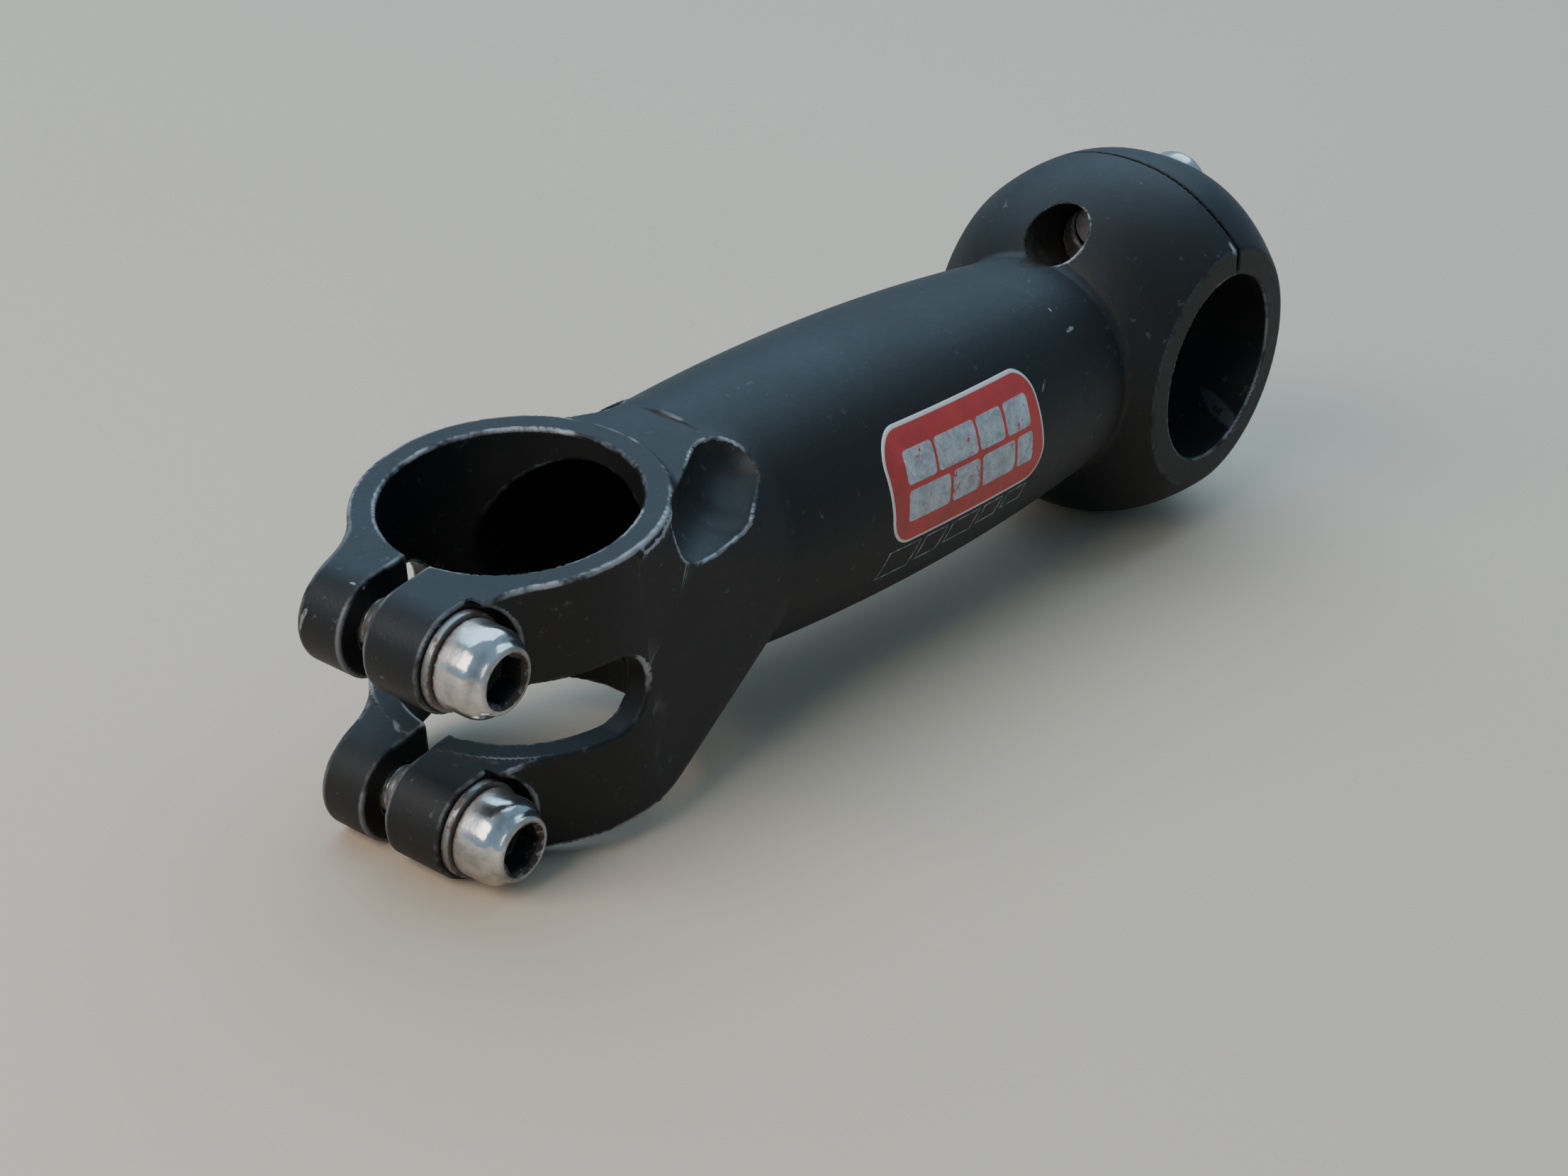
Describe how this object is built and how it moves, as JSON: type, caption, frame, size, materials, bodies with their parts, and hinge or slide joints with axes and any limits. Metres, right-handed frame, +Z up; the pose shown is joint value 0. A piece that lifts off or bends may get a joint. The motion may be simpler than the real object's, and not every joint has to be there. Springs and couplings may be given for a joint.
{
  "type": "threadless handlebar stem",
  "caption": "Bicycle stem with a split steerer clamp, a hollow round extension and a barrel-shaped handlebar clamp, each closed by socket head screws.",
  "frame": {"origin": "centre of the steerer clamp's bore, half way along it", "axes": "+X forwards along the extension, +Y to the rider's left along the handlebar, +Z up from the flat surface that the stem lies on; the steerer axis leans back 10.89 degrees from +Z, and the surface is 20.4 mm below the origin"},
  "size_m": [0.1733, 0.036, 0.0504],
  "materials": {
    "body": "satin black coating over forged aluminium, worn bright at the edges",
    "screw": "polished, dulled by grime",
    "washer": "dull plated steel",
    "badge": "gloss red film with a pale rim"
  },
  "bodies": {
    "stem": {"stem_body": "body", "badge_right": "badge", "badge_left": "badge"},
    "clamp_washer_upper": {"clamp_washer_upper": "washer"},
    "clamp_screw_upper": {"clamp_bolt_upper": "screw"},
    "clamp_washer_lower": {"clamp_washer_lower": "washer"},
    "clamp_screw_lower": {"clamp_bolt_lower": "screw"},
    "bar_screw_washer": {"bar_bolt_washer": "washer"},
    "bar_screw": {"bar_bolt": "screw"}
  },
  "joints": [
    {"name": "clamp_screw_upper_travel", "type": "slide", "parent": "stem", "child": "clamp_washer_upper", "axis": [0, -1, 0], "range_m": [0, 0.006]},
    {"name": "clamp_screw_upper_turn", "type": "hinge", "parent": "clamp_washer_upper", "child": "clamp_screw_upper", "pos_m": [-0.02072, 0, 0.00711], "axis": [0, -1, 0], "range_deg": [0, 2160]},
    {"name": "clamp_screw_lower_travel", "type": "slide", "parent": "stem", "child": "clamp_washer_lower", "axis": [0, -1, 0], "range_m": [0, 0.006]},
    {"name": "clamp_screw_lower_turn", "type": "hinge", "parent": "clamp_washer_lower", "child": "clamp_screw_lower", "pos_m": [-0.0166, 0, -0.01429], "axis": [0, -1, 0], "range_deg": [0, 2160]},
    {"name": "bar_screw_travel", "type": "slide", "parent": "stem", "child": "bar_screw_washer", "axis": [0.9977, 0, 0.0678], "range_m": [0, 0.006]},
    {"name": "bar_screw_turn", "type": "hinge", "parent": "bar_screw_washer", "child": "bar_screw", "pos_m": [0.1201, 0, 0.02207], "axis": [0.9977, 0, 0.0678], "range_deg": [0, 2160]}
  ],
  "couplings": [
    {"joint": "clamp_screw_upper_turn", "follows": "clamp_screw_upper_travel", "rad_per_m": 6283.2},
    {"joint": "clamp_screw_lower_turn", "follows": "clamp_screw_lower_travel", "rad_per_m": 6283.2},
    {"joint": "bar_screw_turn", "follows": "bar_screw_travel", "rad_per_m": 6283.2}
  ]
}
